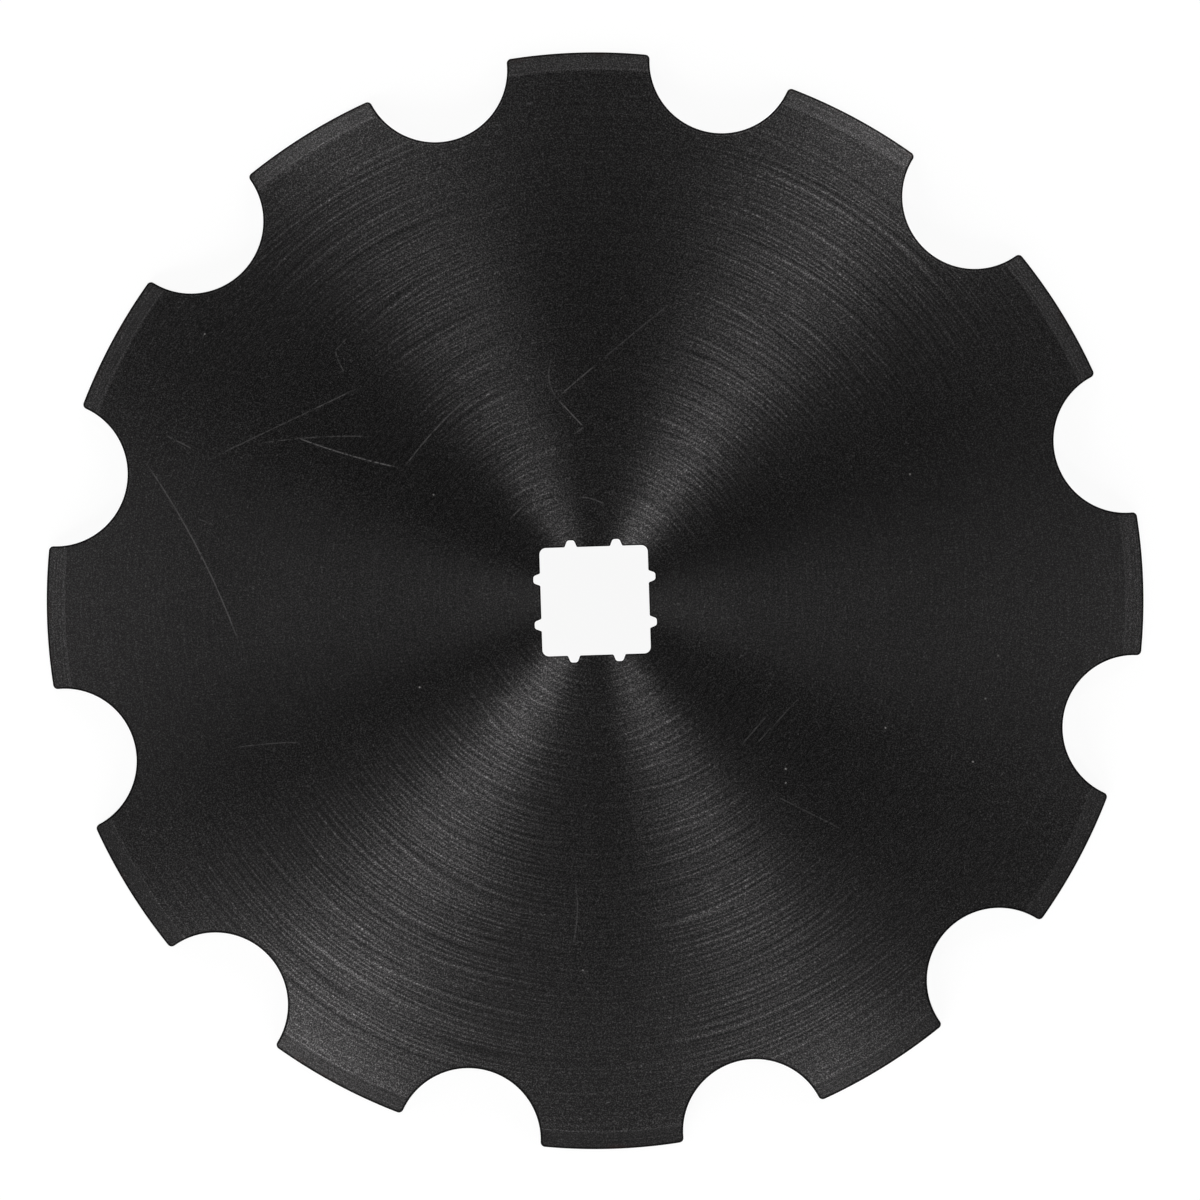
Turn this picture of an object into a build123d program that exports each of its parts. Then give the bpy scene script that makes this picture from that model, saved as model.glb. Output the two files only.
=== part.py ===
from build123d import *
from math import sqrt
import os

# Notched disc blade of a small disc harrow. It is one piece of plate: punched
# with its outline, notches and axle hole, pressed to a shallow dish, turned on
# its crown side and ground to a bevel at the tooth tips.
# Millimetres. The blade lies on its hollow side, so the edge of its teeth is at
# Z = 0. Z is the axis of the gang axle, and X runs through the middle of a tooth
# and square to a side of the axle hole.

# The plate and its dish
BLADE_DIAMETER = 304.8
PLATE_THICKNESS = 3.0
CONCAVITY = 25.4  # depth of the hollow side, from the tips' edge to the middle

# The bevel on the crown side of every tooth tip
BEVEL_WIDTH = 4.8  # across the tip, seen along the axle
EDGE_THICKNESS = 1.0  # what the grinding leaves at the tip

# The notches between the teeth
NOTCH_COUNT = 12
NOTCH_RADIUS = 20.0
NOTCH_DEPTH = 18.6
TIP_ROUNDING = 1.3

# The hole for a square axle. Each side has two reliefs, which seat the corners
# of a smaller square axle when it is turned in the same hole.
HOLE_SIDE = 30.0
HOLE_ROUNDING = 1.8
RELIEF_OFFSET = 6.3  # from the middle of a side to the middle of a relief
RELIEF_DEPTH = 1.9
RELIEF_MOUTH = 3.4
RELIEF_END = 1.9
END_ROUNDING = 0.8
MOUTH_ROUNDING = 0.4

tip_radius = BLADE_DIAMETER / 2
notch_centre_radius = tip_radius - NOTCH_DEPTH + NOTCH_RADIUS
half_pitch = 180 / NOTCH_COUNT
hollow_radius = (tip_radius**2 + CONCAVITY**2) / (2 * CONCAVITY)
crown_radius = hollow_radius + PLATE_THICKNESS
dish_centre = CONCAVITY - hollow_radius
crown_height = CONCAVITY + PLATE_THICKNESS
half_side = HOLE_SIDE / 2


def on_dish(sphere_radius, r):
    """The point of a spherical face's section at distance r from the axle's axis."""
    return r, dish_centre + sqrt(sphere_radius**2 - r**2)


def relief(middle):
    """The corners of one relief, each with its rounding. middle is its place up the side."""
    return [
        ((half_side, middle - RELIEF_MOUTH / 2), MOUTH_ROUNDING),
        ((half_side + RELIEF_DEPTH, middle - RELIEF_END / 2), END_ROUNDING),
        ((half_side + RELIEF_DEPTH, middle + RELIEF_END / 2), END_ROUNDING),
        ((half_side, middle + RELIEF_MOUTH / 2), MOUTH_ROUNDING),
    ]


one_side = [((half_side, -half_side), HOLE_ROUNDING)]
one_side += relief(-RELIEF_OFFSET) + relief(RELIEF_OFFSET)
hole_corners = [
    (Vector(*corner).rotate(Axis.Z, turn), rounding)
    for turn in (0, 90, 180, 270)
    for corner, rounding in one_side
]

with BuildPart() as disc_blade:
    # The dish with its bevel, turned about the axle's axis
    with BuildSketch(Plane.XZ):
        bevel_start = on_dish(crown_radius, tip_radius - BEVEL_WIDTH)
        with BuildLine():
            hollow = ThreePointArc(
                (0, CONCAVITY), on_dish(hollow_radius, tip_radius / 2), (tip_radius, 0)
            )
            edge = Line(hollow @ 1, (tip_radius, EDGE_THICKNESS))
            bevel = Line(edge @ 1, bevel_start)
            crown = ThreePointArc(
                bevel_start, on_dish(crown_radius, tip_radius / 2), (0, crown_height)
            )
            Line(crown @ 1, hollow @ 0)
        make_face()
    revolve(axis=Axis.Z)

    # What the punch leaves: the toothed outline around the axle hole. The disc
    # is turned by half a tooth, so that its seam falls in a notch.
    with BuildSketch():
        with Locations(Rotation(0, 0, half_pitch)):
            Circle(tip_radius)
        with PolarLocations(notch_centre_radius, NOTCH_COUNT, start_angle=half_pitch):
            Circle(NOTCH_RADIUS, mode=Mode.SUBTRACT)
        fillet(vertices(), TIP_ROUNDING)
        with BuildLine():
            FilletPolyline(
                *(corner for corner, rounding in hole_corners),
                radius=[rounding for corner, rounding in hole_corners],
                close=True,
            )
        make_face(mode=Mode.SUBTRACT)
    extrude(amount=crown_height, mode=Mode.INTERSECT)

disc_blade.part.label = "disc_blade"
os.makedirs("parts", exist_ok=True)
export_step(disc_blade.part, "parts/disc_blade.step")
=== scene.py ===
import math

import bpy
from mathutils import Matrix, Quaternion, Vector


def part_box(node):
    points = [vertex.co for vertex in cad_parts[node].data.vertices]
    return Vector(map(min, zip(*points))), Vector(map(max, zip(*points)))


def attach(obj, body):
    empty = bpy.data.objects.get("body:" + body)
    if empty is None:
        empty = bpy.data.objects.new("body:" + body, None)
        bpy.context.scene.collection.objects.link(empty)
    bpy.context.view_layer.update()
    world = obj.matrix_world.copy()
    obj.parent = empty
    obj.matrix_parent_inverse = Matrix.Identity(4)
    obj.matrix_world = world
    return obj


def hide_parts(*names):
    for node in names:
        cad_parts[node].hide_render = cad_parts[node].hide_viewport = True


# A notched disc blade of a harrow, lying crown side up under a straight camera.
# The blade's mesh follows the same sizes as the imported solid. Its finish is a black
# coat over turned steel. The steel throws the light into fans, and the rings that the
# lathe left show in them, because they are where more or less of the steel comes through.

bl_info = {
    "name": "Harrow disc blade",
    "version": (1, 0, 0),
    "blender": (4, 5, 0),
    "location": "View3D > Sidebar > Disc blade",
    "description": "Makes a notched harrow disc blade and the plain studio that it lies in",
    "category": "Object",
}

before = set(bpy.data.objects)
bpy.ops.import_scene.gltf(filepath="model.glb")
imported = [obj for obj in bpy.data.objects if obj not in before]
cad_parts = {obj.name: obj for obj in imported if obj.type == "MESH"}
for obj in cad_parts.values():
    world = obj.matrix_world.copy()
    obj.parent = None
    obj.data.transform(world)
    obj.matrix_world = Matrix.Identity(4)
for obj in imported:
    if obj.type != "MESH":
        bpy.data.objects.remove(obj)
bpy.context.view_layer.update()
BLADE_LOW, BLADE_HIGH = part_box("disc_blade")
MM = 0.001

# How finely the mesh follows the outline, in steps from a tooth's middle to a notch's middle
RIM_STEPS = 12
TIP_STEPS = 6
NOTCH_STEPS = 22
HALF_TOOTH_STEPS = RIM_STEPS + TIP_STEPS + NOTCH_STEPS
CORNER_STEPS = 6
QUARTER_TURN = math.pi / 2

# Rows of the mesh across each part of the section
CROWN_ROWS = 26
HOLLOW_ROWS = 24
BEVEL_ROWS = 3
WALL_ROWS = 5
EDGE_ROWS = 3

# Widths of the narrow rings beside the broken edges and the bevel's ridge, in edge breaks
RIM_MARGIN = 4
HOLE_MARGIN = 2.3
RIDGE_MARGIN = 1.2
LEAST_MARGIN = 0.7
MERGE_DISTANCE = 1e-6

# The finishes, in the order of their numbers on the faces
TURNED, GROUND, PUNCHED, PRESSED = range(4)


def length(name, text, millimetres, low=0.0):
    """A size in metres that a user may change."""
    return bpy.props.FloatProperty(
        name=name,
        description=text,
        default=millimetres * MM,
        min=low,
        precision=5,
        unit="LENGTH",
        subtype="DISTANCE",
    )


def share(name, text, value):
    """A number from 0 to 1 that a user may change."""
    return bpy.props.FloatProperty(
        name=name, description=text, default=value, min=0.0, max=1.0, subtype="FACTOR"
    )


def colour(name, text, value):
    """A colour that a user may change."""
    return bpy.props.FloatVectorProperty(
        name=name, description=text, default=value, size=3, min=0.0, max=1.0, subtype="COLOR"
    )


class BladeSizes(bpy.types.PropertyGroup):
    """The blade's sizes"""

    diameter: length("Diameter", "Across the tips of the teeth", (BLADE_HIGH.x - BLADE_LOW.x) / MM)
    plate: length("Plate thickness", "Thickness of the plate", 3.0)
    dish: length("Dish depth", "Depth of the hollow side", 25.4)
    bevel: length("Bevel width", "Width of the ground bevel, seen along the axle", 4.8)
    edge: length("Edge thickness", "What the grinding leaves at the tips", 1.0)
    notches: bpy.props.IntProperty(
        name="Notches", description="Number of notches round the rim", default=12, min=4, step=4
    )
    notch_radius: length("Notch radius", "Radius of each notch", 20.0)
    notch_depth: length("Notch depth", "Depth of each notch below the tips", 18.6)
    tip_rounding: length("Tip rounding", "Radius at the corners of the teeth", 1.3)
    hole: length("Hole side", "Side of the square axle hole", 30.0)
    hole_rounding: length("Hole rounding", "Radius in the corners of the hole", 1.8)
    relief_offset: length("Relief offset", "From the middle of a side to a relief's middle", 6.3)
    relief_depth: length("Relief depth", "Depth of a relief", 1.9)
    relief_mouth: length("Relief mouth", "Width of a relief at the side of the hole", 3.4)
    relief_end: length("Relief end", "Width of a relief at its end", 1.9)
    end_rounding: length("End rounding", "Radius in the ends of the reliefs", 0.8)
    mouth_rounding: length("Mouth rounding", "Radius at the mouths of the reliefs", 0.4)
    edge_break: length("Edge break", "Radius that the tumbling leaves on every edge", 0.15)


class BladeFinish(bpy.types.PropertyGroup):
    """The blade's finishes"""

    steel: colour("Steel", "Colour of the blacked steel", (0.049, 0.0475, 0.048))
    bare: colour("Scratch", "Colour of the bare steel in a scratch", (0.16, 0.155, 0.155))
    dust: colour("Dust", "Colour of the specks of dust", (0.4, 0.39, 0.38))
    rust: colour("Rust", "Colour of the faint rust at the tips", (0.075, 0.04, 0.034))
    roughness: share("Roughness", "Roughness of the turned face near the rim", 0.58)
    streaks: share("Streaks", "How strongly the rings of the lathe show", 0.45)
    grain: share("Grain", "How strongly the fine grain shows", 0.35)


class Studio(bpy.types.PropertyGroup):
    """The floor, lamps and camera"""

    height: length("Camera height", "Height of the camera above the floor", 6000.0)
    framed: length("Framed width", "Width of the picture at the height of the rim", 333.5)
    turn: bpy.props.FloatProperty(
        name="Camera turn",
        description="Turn of the camera about the axle's axis",
        default=math.radians(-1.8),
        unit="ROTATION",
        subtype="ANGLE",
    )
    aside: length("Camera aside", "How far the camera stands to the right of the axle", 1.36)
    down: length("Camera down", "How far the camera stands below the axle", -0.2, low=-1.0)
    floor: colour("Floor", "Colour of the floor", (0.80, 0.80, 0.80))


class Value:
    """A node's output that can stand in an expression, which adds the Math nodes that it needs."""

    def __init__(self, nodes, socket):
        self.nodes = nodes
        self.socket = socket

    def math(self, operation, *others):
        return self.nodes.math(operation, self, *others)

    def __add__(self, other):
        return self.nodes.math("ADD", self, other)

    def __radd__(self, other):
        return self.nodes.math("ADD", other, self)

    def __sub__(self, other):
        return self.nodes.math("SUBTRACT", self, other)

    def __rsub__(self, other):
        return self.nodes.math("SUBTRACT", other, self)

    def __mul__(self, other):
        return self.nodes.math("MULTIPLY", self, other)

    def __rmul__(self, other):
        return self.nodes.math("MULTIPLY", other, self)

    def __truediv__(self, other):
        return self.nodes.math("DIVIDE", self, other)

    def __rtruediv__(self, other):
        return self.nodes.math("DIVIDE", other, self)

    def __neg__(self):
        return self.nodes.math("MULTIPLY", self, -1.0)

    def __gt__(self, other):
        return self.nodes.math("GREATER_THAN", self, other)

    def __abs__(self):
        return self.nodes.math("ABSOLUTE", self)


class Nodes:
    """A node tree under construction."""

    def __init__(self, tree):
        self.tree = tree

    def add(self, kind, settings=None, sockets=None, output=None):
        """Adds a node: first its settings, then its sockets' values or links. Returns an output."""
        node = self.tree.nodes.new(kind)
        for name, value in (settings or {}).items():
            setattr(node, name, value)
        for key, value in (sockets or {}).items():
            self.feed(self.pick(node.inputs, key), value)
        return Value(self, self.pick(node.outputs, 0 if output is None else output))

    def pick(self, sockets, key):
        """A socket by its place among those in use, or by its name."""
        used = [s for s in sockets if s.enabled]
        if isinstance(key, int):
            return used[key]
        return next(s for s in used if s.name == key)

    def feed(self, socket, value):
        if isinstance(value, Value):
            self.tree.links.new(value.socket, socket)
        else:
            socket.default_value = value

    def math(self, operation, *values):
        return self.add("ShaderNodeMath", {"operation": operation}, dict(enumerate(values)))

    def vector(self, operation, sockets, output="Vector"):
        return self.add("ShaderNodeVectorMath", {"operation": operation}, sockets, output)

    def mix(self, factor, a, b):
        return self.add(
            "ShaderNodeMix", {"data_type": "FLOAT"}, {"Factor": factor, "A": a, "B": b}
        )

    def blend(self, factor, a, b):
        return self.add(
            "ShaderNodeMix", {"data_type": "RGBA"}, {"Factor": factor, "A": a, "B": b}
        )

    def combine(self, x=0.0, y=0.0, z=0.0):
        return self.add("ShaderNodeCombineXYZ", {}, {"X": x, "Y": y, "Z": z})

    def separate(self, vector):
        node = self.add("ShaderNodeSeparateXYZ", {}, {"Vector": vector}).socket.node
        return [Value(self, node.outputs[axis]) for axis in ("X", "Y", "Z")]

    def ease(self, value, low, high):
        """0 at low and 1 at high, with an eased slope between them."""
        return self.add(
            "ShaderNodeMapRange",
            {"interpolation_type": "SMOOTHSTEP"},
            {"Value": value, "From Min": low, "From Max": high},
        )

    def noise(self, vector, scale, detail=2.0, roughness=0.5):
        return self.add(
            "ShaderNodeTexNoise",
            {},
            {"Vector": vector, "Scale": scale, "Detail": detail, "Roughness": roughness},
            "Fac",
        )


# The blade's mesh

SIZE_INPUTS = {
    "diameter": "Diameter",
    "plate": "Plate thickness",
    "dish": "Dish depth",
    "bevel": "Bevel width",
    "edge": "Edge thickness",
    "notches": "Notches",
    "notch_radius": "Notch radius",
    "notch_depth": "Notch depth",
    "tip_rounding": "Tip rounding",
    "hole": "Hole side",
    "hole_rounding": "Hole rounding",
    "relief_offset": "Relief offset",
    "relief_depth": "Relief depth",
    "relief_mouth": "Relief mouth",
    "relief_end": "Relief end",
    "end_rounding": "End rounding",
    "mouth_rounding": "Mouth rounding",
    "edge_break": "Edge break",
}


def toothed_outline(nodes, size, column):
    """The outline's point at a column of the mesh, and the direction out of the plate there.

    Half a tooth is worked out as three arcs that touch: the rim, the tip's rounding and the notch.
    The half is mirrored to a tooth, and the tooth is turned to its place.
    """
    rim = size["diameter"] / 2
    pitch = 2 * math.pi / size["notches"]
    middle_of_notch = pitch / 2
    notch_centre = rim - size["notch_depth"] + size["notch_radius"]
    tip_centre = rim - size["tip_rounding"]
    apart = size["notch_radius"] + size["tip_rounding"]
    cosine = (tip_centre * tip_centre + notch_centre * notch_centre - apart * apart) / (
        2 * tip_centre * notch_centre
    )
    tip_angle = middle_of_notch - cosine.math("ARCCOSINE")
    notch_x = notch_centre * middle_of_notch.math("COSINE")
    notch_y = notch_centre * middle_of_notch.math("SINE")
    tip_x = tip_centre * tip_angle.math("COSINE")
    tip_y = tip_centre * tip_angle.math("SINE")
    touch_angle = (notch_y - tip_y).math("ARCTAN2", notch_x - tip_x)

    steps = 2 * HALF_TOOTH_STEPS
    tooth = ((column + HALF_TOOTH_STEPS) / steps).math("FLOOR")
    place = column - tooth * steps
    step = abs(place)
    on_tip = step > RIM_STEPS
    in_notch = step > RIM_STEPS + TIP_STEPS
    rim_facing = tip_angle * step / RIM_STEPS
    tip_facing = tip_angle + (touch_angle - tip_angle) * (step - RIM_STEPS) / TIP_STEPS
    notch_facing = touch_angle + (middle_of_notch - touch_angle) * (
        step - (RIM_STEPS + TIP_STEPS)
    ) / NOTCH_STEPS

    def by_arc(on_rim, tip, notch):
        return nodes.mix(in_notch, nodes.mix(on_tip, on_rim, tip), notch)

    facing = by_arc(rim_facing, tip_facing, notch_facing)
    radius = by_arc(rim, size["tip_rounding"], -size["notch_radius"])
    centre_x = by_arc(0.0, tip_x, notch_x)
    centre_y = by_arc(0.0, tip_y, notch_y)
    side = place.math("SIGN")
    out_x = facing.math("COSINE")
    out_y = facing.math("SINE")
    point = nodes.combine(centre_x + radius * out_x, (centre_y + radius * out_y) * side)
    out = nodes.combine(out_x, out_y * side)
    return turned(nodes, point, tooth * pitch), turned(nodes, out, tooth * pitch)


def turned(nodes, vector, angle):
    """A vector turned about the axle's axis."""
    return nodes.add(
        "ShaderNodeVectorRotate",
        {"rotation_type": "Z_AXIS"},
        {"Vector": vector, "Center": (0.0, 0.0, 0.0), "Angle": angle},
    )


def hole_outline(nodes, size, columns, column):
    """The axle hole's point at a column of the mesh, and the direction into the hole there.

    A quarter of the hole runs from the middle of one side to the middle of the next. The whole line
    is rounded at its corners and divided into as many equal steps as the mesh has columns.
    """
    side = size["hole"] / 2
    end = side + size["relief_depth"]
    low_mouth = size["relief_offset"] - size["relief_mouth"] / 2
    high_mouth = size["relief_offset"] + size["relief_mouth"] / 2
    low_end = size["relief_offset"] - size["relief_end"] / 2
    high_end = size["relief_offset"] + size["relief_end"] / 2
    rising = [
        (side, low_mouth, size["mouth_rounding"]),
        (end, low_end, size["end_rounding"]),
        (end, high_end, size["end_rounding"]),
        (side, high_mouth, size["mouth_rounding"]),
    ]
    falling = [(across, along, rounding) for along, across, rounding in reversed(rising)]
    corners = [(side, 0.0, 0.0), *rising, (side, side, size["hole_rounding"]), *falling]

    index = nodes.add("GeometryNodeInputIndex")
    quarter = (index / len(corners)).math("FLOOR")
    switch = nodes.tree.nodes.new("GeometryNodeIndexSwitch")
    switch.data_type = "VECTOR"
    while len(switch.index_switch_items) < len(corners):
        switch.index_switch_items.new()
    nodes.feed(switch.inputs["Index"], index - quarter * len(corners))
    for place, values in enumerate(corners):
        nodes.feed(switch.inputs[place + 1], nodes.combine(*values))
    across, along, rounding = nodes.separate(Value(nodes, switch.outputs[0]))
    line = nodes.add(
        "GeometryNodeMeshLine", {}, {"Count": 4 * len(corners), "Offset": (0.0, 0.0, 1.0)}
    )
    keep = nodes.add(
        "GeometryNodeStoreNamedAttribute",
        {"data_type": "FLOAT", "domain": "POINT"},
        {"Geometry": line, "Name": "rounding", "Value": rounding},
    )
    corner = turned(nodes, nodes.combine(across, along), quarter * QUARTER_TURN)
    placed = nodes.add("GeometryNodeSetPosition", {}, {"Geometry": keep, "Position": corner})
    curve = nodes.add("GeometryNodeMeshToCurve", {}, {"Mesh": placed})
    closed = nodes.add("GeometryNodeSetSplineCyclic", {}, {"Geometry": curve, "Cyclic": True})
    rounding = nodes.add(
        "GeometryNodeInputNamedAttribute", {"data_type": "FLOAT"}, {"Name": "rounding"}
    )
    rounded = nodes.add(
        "GeometryNodeFilletCurve",
        {"mode": "POLY"},
        {"Curve": closed, "Count": CORNER_STEPS, "Radius": rounding, "Limit Radius": True},
    )
    divided = nodes.add(
        "GeometryNodeResampleCurve", {"mode": "COUNT"}, {"Curve": rounded, "Count": columns}
    )
    at = column.math("MODULO", columns)
    found = []
    for field in ("GeometryNodeInputPosition", "GeometryNodeInputTangent"):
        found.append(
            nodes.add(
                "GeometryNodeSampleIndex",
                {"data_type": "FLOAT_VECTOR", "domain": "POINT"},
                {"Geometry": divided, "Value": nodes.add(field), "Index": at},
            )
        )
    point, tangent = found
    return point, turned(nodes, tangent, QUARTER_TURN)


def blade_tree(materials):
    """The blade as a node tree: rings of faces that run once round the section, from the rim's wall
    over the crown to the hole, down its wall and back along the hollow side."""
    tree = bpy.data.node_groups.new("disc_blade_rings", "GeometryNodeTree")
    for name in SIZE_INPUTS.values():
        kind = "NodeSocketInt" if name == "Notches" else "NodeSocketFloat"
        tree.interface.new_socket(name, in_out="INPUT", socket_type=kind)
    tree.interface.new_socket("Blade", in_out="OUTPUT", socket_type="NodeSocketGeometry")
    nodes = Nodes(tree)
    entry = tree.nodes.new("NodeGroupInput")
    size = {key: Value(nodes, entry.outputs[name]) for key, name in SIZE_INPUTS.items()}

    columns = size["notches"] * (2 * HALF_TOOTH_STEPS)
    grid_x, grid_y, _ = nodes.separate(nodes.add("GeometryNodeInputPosition"))
    column = (grid_x + columns / 2).math("ROUND")
    along = grid_y + 0.5

    rim = size["diameter"] / 2
    ridge = rim - size["bevel"]
    dish = size["dish"]
    hollow_radius = (rim * rim + dish * dish) / (2 * dish)
    crown_radius = hollow_radius + size["plate"]
    dish_centre = dish - hollow_radius

    def on_dish(radius, r):
        return dish_centre + (radius * radius - r * r).math("SQRT")

    ridge_height = on_dish(crown_radius, ridge)
    bevel_fall = (ridge_height - size["edge"]) / size["bevel"]

    def top(r):
        return on_dish(crown_radius, r).math("MINIMUM", ridge_height - (r - ridge) * bevel_fall)

    def bottom(r):
        return on_dish(hollow_radius, r)

    rim_line = toothed_outline(nodes, size, column)
    hole_line = hole_outline(nodes, size, columns, column)
    broken = size["edge_break"]
    rim_depth = broken * RIM_MARGIN
    hole_depth = broken * HOLE_MARGIN

    def inset(line, depth):
        """The line's point, moved into the plate."""
        point, out = line
        back = nodes.vector("SCALE", {"Vector": out, "Scale": depth})
        return nodes.vector("SUBTRACT", {0: point, 1: back})

    def reach(vector):
        return nodes.vector("LENGTH", {"Vector": vector}, "Value")

    rim_margin = inset(rim_line, rim_depth)
    hole_margin = inset(hole_line, hole_depth)
    rim_reach = reach(rim_margin)
    hole_reach = reach(hole_margin)
    direction = nodes.vector("NORMALIZE", {"Vector": rim_margin})
    rim_x, rim_y, _ = nodes.separate(rim_margin)
    hole_x, hole_y, _ = nodes.separate(hole_margin)
    lead = (rim_x * hole_y - rim_y * hole_x).math(
        "ARCTAN2", rim_x * hole_x + rim_y * hole_y
    )
    least = broken * LEAST_MARGIN
    ridge_half = broken * RIDGE_MARGIN
    outside_ridge = (ridge + ridge_half).math("MINIMUM", rim_reach - least)
    at_ridge = ridge.math("MINIMUM", outside_ridge - least)
    inside_ridge = (ridge - ridge_half).math("MINIMUM", at_ridge - least)

    def at_reach(r, from_hole):
        """The point at a distance from the axis. from_hole is 0 at the hole and 1 at the rim."""
        turn = lead * (1 - nodes.ease(from_hole, 0.0, 1.0))
        return nodes.vector("SCALE", {"Vector": turned(nodes, direction, turn), "Scale": r})

    rings = []

    def ring(rows, point, height, finish, edge):
        """One ring of faces. point, height and edge say where each of its vertices lies."""
        grid = nodes.add(
            "GeometryNodeMeshGrid",
            {},
            {"Size X": columns, "Size Y": 1.0, "Vertices X": columns + 1, "Vertices Y": rows + 1},
            "Mesh",
        )
        marked = nodes.add(
            "GeometryNodeStoreNamedAttribute",
            {"data_type": "FLOAT", "domain": "POINT"},
            {"Geometry": grid, "Name": "edge", "Value": edge},
        )
        x, y, _ = nodes.separate(point)
        placed = nodes.add(
            "GeometryNodeSetPosition",
            {},
            {"Geometry": marked, "Position": nodes.combine(x, y, height)},
        )
        rings.append(
            nodes.add(
                "GeometryNodeStoreNamedAttribute",
                {"data_type": "INT", "domain": "FACE"},
                {"Geometry": placed, "Name": "finish", "Value": finish},
            )
        )

    def flat_ring(rows, r, from_hole, face, finish):
        """A ring of the open face, at distances r from the axis."""
        ring(rows, at_reach(r, from_hole), face(r), finish, 0.0)

    def margin_ring(line, depth, outwards, face, finish):
        """The narrow ring between a broken edge and the open face, which starts at a depth."""
        share_out = along if outwards else 1 - along
        point = inset(line, broken + (depth - broken) * (1 - share_out))
        ring(1, point, face(reach(point)), finish, share_out)

    def edge_ring(line, outwards, face, drop, finish):
        """The rounding of a broken edge. drop is -1 below the top face and 1 above the hollow side."""
        turn = (along if outwards else 1 - along) * QUARTER_TURN
        point = inset(line, broken * (1 - turn.math("SINE")))
        height = face(reach(point)) + drop * broken * (1 - turn.math("COSINE"))
        ring(EDGE_ROWS, point, height, finish, 1.0)

    def wall_ring(line, start, end, start_drop, end_drop):
        """The wall that the punch left, from one face to the other."""
        point = line[0]
        r = reach(point)
        ring(
            WALL_ROWS,
            point,
            nodes.mix(along, start(r) + start_drop * broken, end(r) + end_drop * broken),
            PUNCHED,
            1.0,
        )

    edge_ring(rim_line, False, top, -1, PUNCHED)
    margin_ring(rim_line, rim_depth, False, top, GROUND)
    flat_ring(BEVEL_ROWS, nodes.mix(along, rim_reach, outside_ridge), 1.0, top, GROUND)
    flat_ring(1, nodes.mix(along, outside_ridge, at_ridge), 1.0, top, GROUND)
    flat_ring(1, nodes.mix(along, at_ridge, inside_ridge), 1.0, top, TURNED)
    flat_ring(CROWN_ROWS, nodes.mix(along, inside_ridge, hole_reach), 1 - along, top, TURNED)
    margin_ring(hole_line, hole_depth, True, top, TURNED)
    edge_ring(hole_line, True, top, -1, PUNCHED)
    wall_ring(hole_line, top, bottom, -1, 1)
    edge_ring(hole_line, False, bottom, 1, PUNCHED)
    margin_ring(hole_line, hole_depth, False, bottom, PRESSED)
    flat_ring(HOLLOW_ROWS, nodes.mix(along, hole_reach, rim_reach), along, bottom, PRESSED)
    margin_ring(rim_line, rim_depth, True, bottom, PRESSED)
    edge_ring(rim_line, True, bottom, 1, PUNCHED)
    wall_ring(rim_line, bottom, top, 1, -1)

    join = tree.nodes.new("GeometryNodeJoinGeometry")
    for made in reversed(rings):
        tree.links.new(made.socket, join.inputs[0])
    shape = nodes.add(
        "GeometryNodeMergeByDistance",
        {},
        {"Geometry": Value(nodes, join.outputs[0]), "Distance": MERGE_DISTANCE},
    )
    shape = nodes.add("GeometryNodeSetShadeSmooth", {"domain": "FACE"}, {"Geometry": shape})
    shape = nodes.add("GeometryNodeRealizeInstances", {}, {"Geometry": shape})
    finish = nodes.add("GeometryNodeInputNamedAttribute", {"data_type": "INT"}, {"Name": "finish"})
    for number, material in enumerate(materials):
        shape = nodes.add(
            "GeometryNodeSetMaterial",
            {},
            {
                "Geometry": shape,
                "Selection": finish.math("COMPARE", number, 0.5),
                "Material": material,
            },
        )
    leave = tree.nodes.new("NodeGroupOutput")
    tree.links.new(shape.socket, leave.inputs[0])
    return tree


def made_by(tree, name, values):
    """A plain mesh object made by a node tree. values are its inputs by name."""
    blank = bpy.data.meshes.new(name)
    made = bpy.data.objects.new(name, blank)
    bpy.context.scene.collection.objects.link(made)
    modifier = made.modifiers.new("rings", "NODES")
    modifier.node_group = tree
    for item in tree.interface.items_tree:
        if item.in_out == "INPUT":
            modifier[item.identifier] = values[item.name]
    bpy.context.view_layer.update()
    evaluated = made.evaluated_get(bpy.context.evaluated_depsgraph_get())
    made.data = bpy.data.meshes.new_from_object(evaluated)
    made.data.name = name
    made.modifiers.remove(modifier)
    bpy.data.meshes.remove(blank)
    if not made.data.polygons:
        raise RuntimeError(f"{name} came out empty")
    if made.data.materials[0] is None:
        made.data.materials.pop(index=0)
    return made


# Finishes. Places are in millimetres from the axle's axis.

# The turned face: how far apart its rings are, how bright its metal and its coat are, how bare the
# metal is, how strong the rings and the grain are, and the bright line where it meets the bevel,
# as a radius, a half width and how far off the line is gone
FACE_PITCH = 1.5
FACE_METAL = 1.85
FACE_COAT = 0.31
FACE_BARE = 0.52
FACE_RINGS = 0.86
FACE_GRAIN = 14.0
FACE_RIDGE = (147.45, 0.1, 0.32)
FACE_RIM = 150.0  # the radius at which the metal's rise in brightness is full

# The same for the bevel, and the radii between which its faint rust comes in
BEVEL_PITCH = 1.3
BEVEL_METAL = 1.55
BEVEL_COAT = 0.3
BEVEL_BARE = 0.62
BEVEL_RINGS = 0.5
BEVEL_GRAIN = 12.0
BEVEL_RIDGE = (147.7, 0.1, 0.4)
RUST_RADII = (150.4, 152.3)

# The relief of the grain, of the punch's tears and of the mill scale: strength and height in metres
GRAIN_BUMP = (0.35, 0.02 * MM)
TEAR_BUMP = (0.6, 0.06 * MM)
SCALE_BUMP = (0.5, 0.05 * MM)

# Painted shade on a broken edge: the share of the margin that it takes, and how dark it is
EDGE_SLOPE = 0.4
EDGE_PAINTED_SHADE = 0.88
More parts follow.
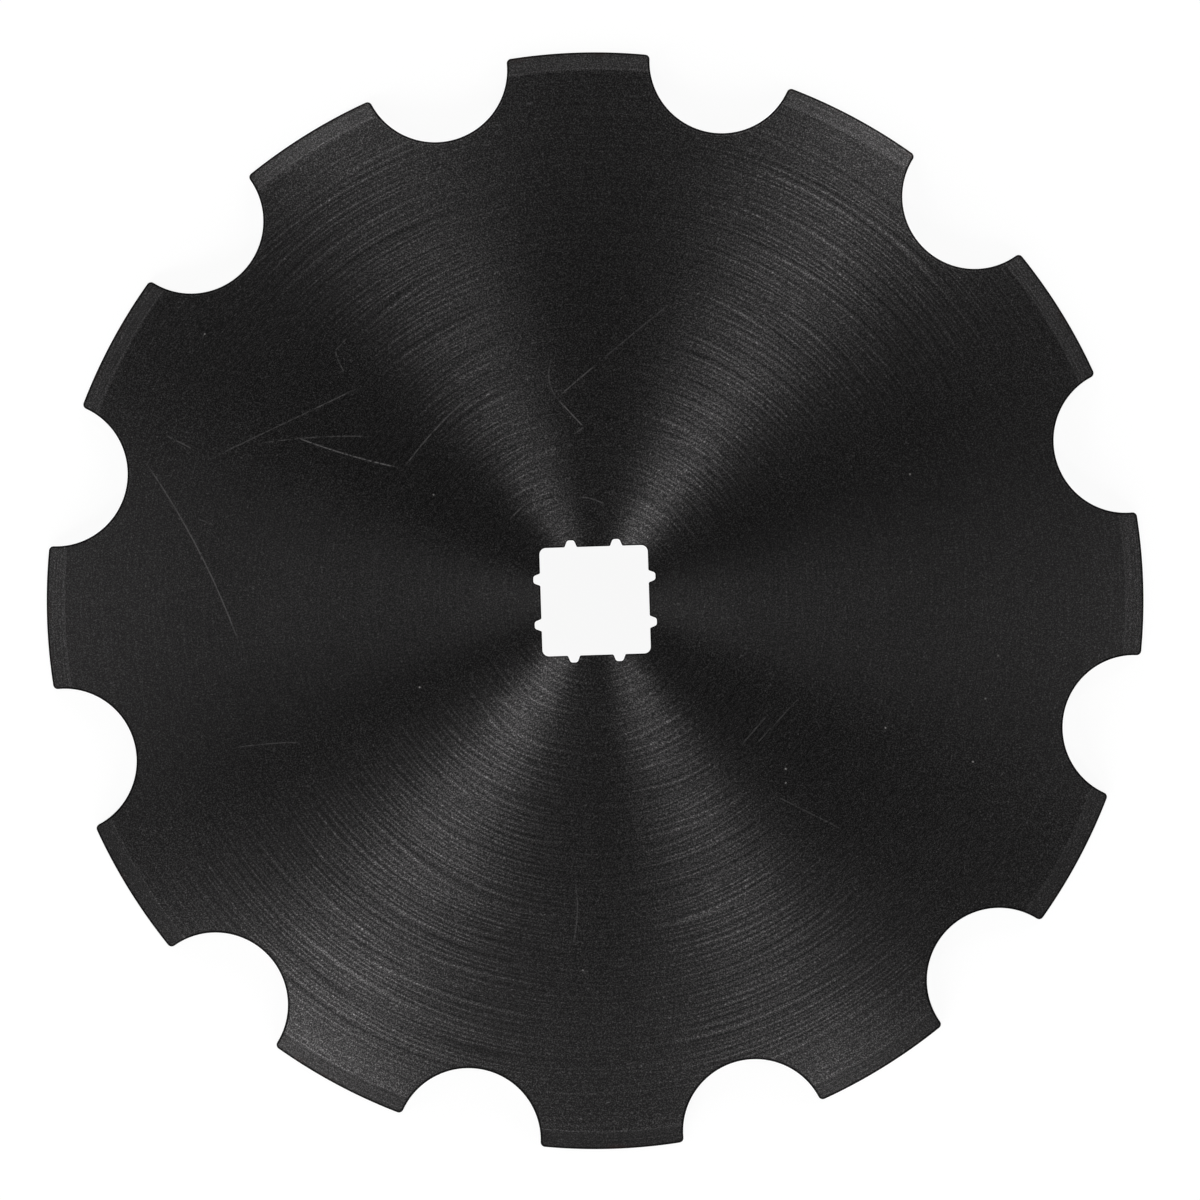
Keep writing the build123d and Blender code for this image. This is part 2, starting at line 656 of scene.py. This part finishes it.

# Where the rings are calmed: from, full at, how much. The first three are shares of the radius,
# toward the sides, the top and the bottom; there the calming is painted light, which weakens the
# rings where the lamps wash them out. The others are radii, near the rim and near the hole.
PAINTED_CALM_SIDES = (0.79, 0.9, 0.86)
PAINTED_CALM_TOP = (0.88, 0.98, 0.8)
PAINTED_CALM_BOTTOM = (0.965, 0.995, 0.7)
CALM_RIM = (130.0, 144.0, 0.65)
CALM_HUB = (60.0, 20.0, 0.4)
# Painted light: the grain too is shown less toward the sides, where the lamps wash it out.
GRAIN_PAINTED_CALM = (0.88, 0.97, 0.36)  # the same for the grain, toward the sides

# Marks of handling on the crown: start, end, bow, strength
SCRATCHES = [
    ((-124.0, 43.1), (-98.8, -9.3), 2.0, 0.6),
    ((-117.7, 49.7), (-110.2, 45.5), 0.0, 0.5),
    ((-105.0, 42.9), (-62.9, 61.3), 0.0, 0.4),
    ((-91.7, 46.5), (-59.4, 47.3), 0.8, 0.36),
    ((-81.7, 48.0), (-53.0, 38.5), -0.6, 0.85),
    ((-51.8, 38.4), (-32.7, 57.9), 0.8, 0.5),
    ((-109.4, 26.2), (-104.9, 24.2), 0.0, 0.4),
    ((-9.7, 67.7), (-8.8, 56.3), -1.6, 0.45),
    ((-8.8, 56.3), (-1.6, 48.1), 0.0, 0.75),
    ((-1.6, 48.1), (-4.4, 46.2), 0.0, 0.5),
    ((-8.0, 57.1), (2.0, 65.1), 0.0, 0.55),
    ((4.0, 66.7), (24.0, 82.2), 0.0, 0.35),
    ((-3.8, 28.8), (3.6, 26.4), 0.6, 0.5),
    ((-69.8, 71.5), (-66.4, 75.0), 0.0, 0.42),
    ((-69.8, 71.5), (-67.3, 65.3), -0.3, 0.36),
    ((-22.9, 23.3), (-18.3, 27.6), 0.0, 0.4),
    ((43.4, -41.0), (56.1, -28.1), 0.0, 0.3),
    ((39.5, -40.8), (46.7, -33.2), 0.0, 0.24),
    ((47.6, -55.2), (66.7, -65.6), 0.0, 0.26),
    ((-101.0, -37.6), (-82.5, -36.7), 0.4, 0.36),
    ((-8.0, -77.8), (-9.4, -95.8), 1.0, 0.35),
]
SCRATCH_HALF_WIDTH = 0.3
SCRATCH_STRENGTH = 1.2

# The centres of the specks of dust on the crown
SPECKS = [
    (51.3, -48.2),
    (51.2, -52.1),
    (107.3, -30.5),
    (111.2, -18.7),
    (103.3, -47.9),
    (79.3, -37.7),
    (-49.3, -22.4),
    (-43.7, 30.7),
    (-106.0, 77.4),
    (-64.9, 103.3),
    (-6.6, -102.3),
    (88.3, 32.3),
]
SPECK_RADIUS = 0.44


class Finish(Nodes):
    """A material under construction, with the places and marks that the finishes share."""

    def __init__(self, name):
        self.material = bpy.data.materials.new(name)
        self.material.use_nodes = True
        super().__init__(self.material.node_tree)
        self.tree.nodes.clear()
        place = self.add("ShaderNodeTexCoord", output="Object")
        self.place = self.vector("SCALE", {"Vector": place, "Scale": 1 / MM})
        self.x, self.y, self.z = self.separate(self.place)
        self.radius = (self.x * self.x + self.y * self.y).math("SQRT")

    def shader(self, **sockets):
        """A Principled shader. Its sockets are named with low lines for spaces."""
        named = {name.replace("_", " "): value for name, value in sockets.items()}
        return self.add("ShaderNodeBsdfPrincipled", {}, named)

    def metal(self, colour, roughness, normal):
        """Bright steel with fine rings, which throws light across them."""
        return self.shader(
            Base_Color=colour,
            Metallic=1.0,
            Roughness=roughness,
            Anisotropic=1.0,
            Anisotropic_Rotation=0.25,
            Normal=normal,
        )

    def coat(self, colour, normal):
        """The dull black coat."""
        return self.shader(
            Base_Color=colour,
            Metallic=0.0,
            Roughness=0.6,
            Specular_IOR_Level=0.05,
            Normal=normal,
        )

    def coated(self, bare, metal, coat):
        """The coat over the metal, mixed by how bare the metal is."""
        bare = bare.math("MAXIMUM", 0.0).math("MINIMUM", 1.0)
        return self.add("ShaderNodeMixShader", {}, {"Fac": bare, 1: coat, 2: metal})

    def bump(self, height, strength, distance):
        return self.add(
            "ShaderNodeBump", {}, {"Strength": strength, "Distance": distance, "Height": height}
        )

    def end(self, shader):
        """The material, with a shader on its surface."""
        output = self.tree.nodes.new("ShaderNodeOutputMaterial")
        self.tree.links.new(shader.socket, output.inputs["Surface"])
        return self.material

    def edge(self):
        """1 on a broken edge, falling to 0 across the margin beside it."""
        return self.add("ShaderNodeAttribute", {"attribute_name": "edge"}, {}, "Fac")

    def rings(self, arc, pitch, detail=2.0):
        """Streaks that run round the axle's axis. arc is how often they break."""
        around = self.combine(
            self.x / self.radius * arc, self.y / self.radius * arc, self.radius / pitch
        )
        return self.noise(around, 1.0, detail)

    def scratch(self, start, end, bow):
        """1 on a scratch from start to end and 0 beside it. bow is how far it bends."""
        run = Vector(end) - Vector(start)
        local = self.add(
            "ShaderNodeMapping",
            {"vector_type": "TEXTURE"},
            {
                "Vector": self.place,
                "Location": (*start, 0.0),
                "Rotation": (0.0, 0.0, math.atan2(run.y, run.x)),
                "Scale": (run.length, 1.0, 1.0),
            },
        )
        along, aside, _ = self.separate(local)
        from_middle = abs(along - 0.5)
        if bow:
            aside = aside - (1 - from_middle * from_middle * 4) * bow
        width = self.ease(abs(aside), SCRATCH_HALF_WIDTH, 0.0)
        return width * self.ease(from_middle, 0.5, 0.38)

    def scratches(self):
        """All the scratches by their strengths, broken up along their length."""
        marks = None
        for start, end, bow, strength in SCRATCHES:
            one = self.scratch(start, end, bow) * (strength * SCRATCH_STRENGTH)
            marks = one if marks is None else marks.math("MAXIMUM", one)
        return marks * self.ease(self.noise(self.place, 1.1), 0.3, 0.5)

    def specks(self):
        """1 on the specks of dust and 0 elsewhere."""
        flat = self.combine(self.x, self.y)
        nearest = None
        for speck in SPECKS:
            away = self.vector("DISTANCE", {0: flat, 1: (*speck, 0.0)}, "Value")
            nearest = away if nearest is None else nearest.math("MINIMUM", away)
        return self.ease(nearest, SPECK_RADIUS, 0.0)

    def wave(self, pitch, arc):
        """Uneven waves in the turned face, from -1 to 1. pitch is from crest to crest."""
        drift = self.rings(arc, pitch * 3.5, 1.0) * 4.0
        return ((self.radius / pitch + drift) * math.tau).math("SINE")

    def cuts(self, pitch):
        """The lathe's rings, above 0 on a bright line and below 0 in a dark one."""
        coarse = self.wave(pitch, 1.1)
        fine = self.wave(pitch * 0.62, 1.5)
        strong = self.ease(self.rings(2.6, pitch, 0.0), 0.28, 0.66)
        swell = self.rings(1.3, pitch * 0.7, 0.0) - 0.5
        bright = self.ease(coarse, 0.62, 1.0) * strong * 1.6 + self.ease(fine, 0.6, 1.0) * 0.4
        dark = self.ease(-coarse, 0.7, 1.0) * 0.45
        return swell * 0.9 + coarse * 0.16 + bright * 1.1 - dark - 0.3

    def calm_and_painted_light(self):
        """How far the rings are calmed, from 0 to 1. Toward the sides, the top and the bottom this is
        painted light: the rings are weakened where the lamps wash them out.
        """
        most = None
        for place, (start, full, amount) in (
            (abs(self.x) / self.radius, PAINTED_CALM_SIDES),
            (self.y / self.radius, PAINTED_CALM_TOP),
            (-self.y / self.radius, PAINTED_CALM_BOTTOM),
            (self.radius, CALM_RIM),
            (self.radius, CALM_HUB),
        ):
            one = self.ease(place, start, full) * amount
            most = one if most is None else most.math("MAXIMUM", one)
        return most

    def grain(self):
        """The coat's fine grain, about 0, with more bright points than dark ones."""
        fine = self.noise(self.place, 2.9, 0.0).math("MAXIMUM", 0.42) - 0.508
        point = self.ease(self.noise(self.place, 2.1, 0.0), 0.66, 0.85)
        return fine + point * 0.4

    def grain_and_edge_shade(self, grain, strength):
        """The grain as a factor of brightness, with painted shade that darkens it on a broken edge."""
        fine = (1 + grain * strength).math("MAXIMUM", 0.3)
        return fine * (1 - self.ease(self.edge(), 0.0, EDGE_SLOPE) * EDGE_PAINTED_SHADE)

    def line(self, radius, half, gone):
        """1 on a line round the axle's axis, and 0 as far off it as gone says."""
        return 1 - self.ease(abs(self.radius - radius), half, gone)

    def scaled(self, value, factor):
        """A colour times a number."""
        return self.vector("SCALE", {"Vector": value, "Scale": factor})


def turned_face(look):
    """The crown: bright turned steel under a black coat, which covers it unevenly in the lathe's
    rings, with fine grain, specks and scratches."""
    face = Finish("turned_face")
    steel = tuple(look.steel)
    scratch = (*look.bare, 1.0)
    grain = face.grain()
    bump = face.bump(grain, *GRAIN_BUMP)
    # Painted light: the grain is shown less toward the sides, where the lamps wash it out.
    start, full, amount = GRAIN_PAINTED_CALM
    shown = 1 - face.ease(abs(face.x) / face.radius, start, full) * amount
    ridge = 1 + face.line(*FACE_RIDGE) * 0.5
    fine = face.grain_and_edge_shade(grain * shown, FACE_GRAIN * look.grain) * ridge

    # A faint cloud makes metal and coat uneven. The metal is brighter toward the rim and the hole.
    even = 0.74 + (face.noise(face.place, 0.03, 3.0, 0.55) - 0.5) * 0.25
    outward = face.radius / FACE_RIM
    round_hole = 1 - face.ease(face.radius, 20.0, 56.0)
    outer = outward * outward * outward * 0.64 + round_hole * 0.2
    metal_colour = face.scaled(steel, (even + outer) * fine * FACE_METAL)
    coat_colour = face.scaled(steel, even * fine * FACE_COAT)

    marks = face.scratches()
    marked_coat = face.blend(marks, coat_colour, scratch)
    dusty_coat = face.blend(face.specks(), marked_coat, (*look.dust, 1.0))
    smoother = (1 - face.ease(face.radius, 25.0, 125.0)) * 0.14
    metal = face.metal(face.blend(marks, metal_colour, scratch), look.roughness - smoother, bump)
    # The rings' strength is lowered by the calming, which toward the sides, top and bottom is painted
    # light.
    bare = FACE_BARE + face.cuts(FACE_PITCH) * (1 - face.calm_and_painted_light()) * (FACE_RINGS * look.streaks)
    return face.end(face.coated(bare, metal, face.coat(dusty_coat, bump)))


def ground_bevel(look):
    """The bevel at the tips: the same coat over the grinder's rings, with faint rust at the edge, and
    painted light that makes it lighter toward the top.
    """
    face = Finish("ground_bevel")
    steel = tuple(look.steel)
    rust = (*look.rust, 1.0)
    grain = face.grain()
    bump = face.bump(grain, *GRAIN_BUMP)
    up = face.y / face.radius
    # Painted light: the bevel is lighter toward the top and a little toward the right, where more
    # light falls on it.
    painted_top_light = 1.45 + up * 0.45 + face.x / face.radius * 0.1
    ridge = 1 + face.line(*BEVEL_RIDGE) * 0.2
    level = face.grain_and_edge_shade(grain, BEVEL_GRAIN * look.grain) * painted_top_light * ridge
    at_edge = face.ease(face.radius, *RUST_RADII)
    rusty = face.ease(face.noise(face.place, 0.09), 0.55, 0.72) * at_edge * 0.25
    # Painted light: the metal is lighter toward the top as well.
    metal_colour = face.scaled(steel, level * (BEVEL_METAL + up * 0.3))
    coat_colour = face.scaled(steel, level * BEVEL_COAT)
    metal = face.metal(face.blend(rusty, metal_colour, rust), look.roughness, bump)
    coat = face.coat(face.blend(rusty, coat_colour, rust), bump)
    bare = BEVEL_BARE + face.cuts(BEVEL_PITCH) * (BEVEL_RINGS * look.streaks)
    return face.end(face.coated(bare, metal, coat))


def punched_wall(look):
    """The walls that the punch left, with fine tears from face to face."""
    face = Finish("punched_wall")
    drawn_out = face.vector("MULTIPLY", {0: face.place, 1: (1.0, 1.0, 0.12)})
    tears = face.noise(drawn_out, 2.6, 3.0, 0.6)
    grain = face.noise(face.place, 1.8, 3.0, 0.6) - 0.5
    level = 0.3 + (tears - 0.5) * 0.5 + grain * 0.3
    return face.end(
        face.shader(
            Base_Color=face.scaled(tuple(look.steel), level),
            Metallic=1.0,
            Roughness=0.62 + tears * 0.12,
            Normal=face.bump(tears, *TEAR_BUMP),
        )
    )


def pressed_face(look):
    """The hollow side: plain black coat over mill scale, with the press's faint rub marks, and painted
    shade on the broken edges.
    """
    face = Finish("pressed_face")
    scale = face.noise(face.place, 0.35, 4.0, 0.6) - 0.5
    grain = face.noise(face.place, 2.0, 2.0, 0.6) - 0.5
    rub = face.rings(1.5, 14.0) - 0.5
    # Painted shade: the broken edges are painted darker by half.
    level = (1 + scale * 0.5 + grain * 0.5 + rub * 0.3) * (1 - face.edge() * 0.5)
    return face.end(
        face.shader(
            Base_Color=face.scaled(tuple(look.steel), level),
            Metallic=1.0,
            Roughness=0.56 + scale * 0.15,
            Normal=face.bump(scale + grain * 0.4, *SCALE_BUMP),
        )
    )


class DISCBLADE_OT_blade(bpy.types.Operator):
    """Make the blade from its sizes and finishes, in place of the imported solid"""

    bl_idname = "discblade.blade"
    bl_label = "Turned blade"

    def execute(self, context):
        size = context.scene.disc_blade_sizes
        look = context.scene.disc_blade_finish
        materials = [turned_face(look), ground_bevel(look), punched_wall(look), pressed_face(look)]
        tree = blade_tree(materials)
        values = {name: getattr(size, key) for key, name in SIZE_INPUTS.items()}
        blade = made_by(tree, "turned_blade", values)
        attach(blade, "root")
        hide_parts("disc_blade")
        return {"FINISHED"}


# Studio

LAMP_DISTANCE = 2.2
FLOOR_RADIUS = 14.0

# What the camera and reflections see of the floor: its own glow, and what the light adds to it
FLOOR_GLOW = (0.93, 0.93, 0.93, 1.0)
FLOOR_SHADE = (0.09, 0.09, 0.09, 1.0)

# The dim ceiling of the room, and the heights between which the white walls end
CEILING = 0.05
WALLS_END = (0.25, 0.42)

# The softboxes round the blade: name, direction in degrees, angle from straight above, how far its
# top leans to the next direction, width and height in metres, power in watts
LAMPS = [
    ("lamp_right_back", 55.6, 55.0, 25.0, 0.16, 1.0, 9.2),
    ("lamp_left_back", 118.9, 63.0, -15.0, 0.43, 0.7, 6.5),
    ("lamp_left", 179.3, 52.0, 0.0, 1.13, 0.54, 6.4),
    ("lamp_left_front", 234.8, 59.0, 33.0, 0.44, 1.1, 19.6),
    ("lamp_front", 241.0, 66.0, 0.0, 2.25, 0.54, 9.8),
    ("lamp_right_front", 292.2, 57.0, -31.0, 0.22, 1.0, 13.7),
    ("lamp_right", 352.2, 52.0, 0.0, 0.98, 0.54, 4.0),
]


def softbox(name, azimuth, zenith, lean, wide, tall, power):
    """A lamp that faces the blade. The camera doesn't see it."""
    light = bpy.data.lights.new(name, "AREA")
    light.shape = "RECTANGLE"
    light.size = wide
    light.size_y = tall
    light.energy = power
    lamp = bpy.data.objects.new(name, light)
    a = math.radians(azimuth)
    z = math.radians(zenith)
    aim = Vector((math.cos(a) * math.sin(z), math.sin(a) * math.sin(z), math.cos(z)))
    lamp.location = aim * LAMP_DISTANCE
    upright = aim.to_track_quat("Z", "Y")
    lamp.rotation_euler = (upright @ Quaternion((0.0, 0.0, 1.0), -math.radians(lean))).to_euler()
    lamp.visible_camera = False
    bpy.context.scene.collection.objects.link(lamp)


def studio_floor(studio):
    """A wide pale floor. What the camera sees of it is white, and keeps a faint shadow."""
    material = bpy.data.materials.new("studio_floor")
    material.use_nodes = True
    nodes = Nodes(material.node_tree)
    nodes.tree.nodes.clear()
    path = nodes.add("ShaderNodeLightPath").socket.node.outputs
    seen = Value(nodes, path["Is Camera Ray"])
    for name in ("Is Glossy Ray", "Is Transmission Ray"):
        seen = seen.math("MAXIMUM", Value(nodes, path[name]))
    pale = nodes.add("ShaderNodeBsdfDiffuse", {}, {"Color": (*studio.floor, 1.0)})
    white = nodes.add("ShaderNodeEmission", {}, {"Color": FLOOR_GLOW}, "Emission")
    shade = nodes.add("ShaderNodeBsdfDiffuse", {}, {"Color": FLOOR_SHADE})
    shown = nodes.add("ShaderNodeAddShader", {}, {0: white, 1: shade})
    floor = nodes.add("ShaderNodeMixShader", {}, {"Fac": seen, 1: pale, 2: shown})
    output = nodes.tree.nodes.new("ShaderNodeOutputMaterial")
    nodes.tree.links.new(floor.socket, output.inputs["Surface"])
    bpy.ops.mesh.primitive_circle_add(vertices=96, radius=FLOOR_RADIUS, fill_type="NGON")
    plate = bpy.context.object
    plate.name = "studio_floor"
    plate.data.materials.append(material)


def studio_world():
    """White all round up to a low height, and a dim ceiling above it."""
    world = bpy.data.worlds.new("studio_world")
    world.use_nodes = True
    nodes = Nodes(world.node_tree)
    nodes.tree.nodes.clear()
    _, _, up = nodes.separate(nodes.add("ShaderNodeTexCoord", output="Generated"))
    level = 1 - nodes.ease(up, *WALLS_END) * (1 - CEILING)
    sky = nodes.add("ShaderNodeBackground", {}, {"Color": (1.0, 1.0, 1.0, 1.0), "Strength": level})
    output = nodes.tree.nodes.new("ShaderNodeOutputWorld")
    nodes.tree.links.new(sky.socket, output.inputs["Surface"])
    bpy.context.scene.world = world


def studio_camera(studio):
    """The camera, straight above the blade."""
    camera = bpy.data.cameras.new("camera")
    camera.lens = camera.sensor_width * studio.height / studio.framed
    camera.clip_end = 20.0
    stand = bpy.data.objects.new("camera", camera)
    across = Vector((math.cos(studio.turn), math.sin(studio.turn), 0.0))
    down = Vector((math.sin(studio.turn), -math.cos(studio.turn), 0.0))
    stand.location = across * studio.aside + down * studio.down + Vector((0.0, 0.0, studio.height))
    stand.rotation_euler = (0.0, 0.0, studio.turn)
    bpy.context.scene.collection.objects.link(stand)
    bpy.context.scene.camera = stand


class DISCBLADE_OT_stage(bpy.types.Operator):
    """Make the floor, the lamps, the world's light and the camera"""

    bl_idname = "discblade.stage"
    bl_label = "Plain studio"

    def execute(self, context):
        studio = context.scene.disc_blade_studio
        context.scene.view_settings.view_transform = "Standard"
        studio_floor(studio)
        studio_world()
        for lamp in LAMPS:
            softbox(*lamp)
        studio_camera(studio)
        return {"FINISHED"}


class DISCBLADE_PT_panel(bpy.types.Panel):
    """The blade's sizes and finishes, and the studio"""

    bl_idname = "DISCBLADE_PT_panel"
    bl_label = "Disc blade"
    bl_space_type = "VIEW_3D"
    bl_region_type = "UI"
    bl_category = "Disc blade"

    def draw(self, context):
        layout = self.layout
        for group, operator in (
            (context.scene.disc_blade_sizes, None),
            (context.scene.disc_blade_finish, DISCBLADE_OT_blade.bl_idname),
            (context.scene.disc_blade_studio, DISCBLADE_OT_stage.bl_idname),
        ):
            box = layout.box()
            for name in group.__annotations__:
                box.prop(group, name)
            if operator:
                box.operator(operator)


CLASSES = (
    BladeSizes,
    BladeFinish,
    Studio,
    DISCBLADE_OT_blade,
    DISCBLADE_OT_stage,
    DISCBLADE_PT_panel,
)


def register():
    for each in CLASSES:
        bpy.utils.register_class(each)
    bpy.types.Scene.disc_blade_sizes = bpy.props.PointerProperty(type=BladeSizes)
    bpy.types.Scene.disc_blade_finish = bpy.props.PointerProperty(type=BladeFinish)
    bpy.types.Scene.disc_blade_studio = bpy.props.PointerProperty(type=Studio)


def unregister():
    del bpy.types.Scene.disc_blade_studio
    del bpy.types.Scene.disc_blade_finish
    del bpy.types.Scene.disc_blade_sizes
    for each in reversed(CLASSES):
        bpy.utils.unregister_class(each)


def main():
    register()
    bpy.ops.discblade.blade()
    bpy.ops.discblade.stage()


if __name__ == "__main__":
    main()
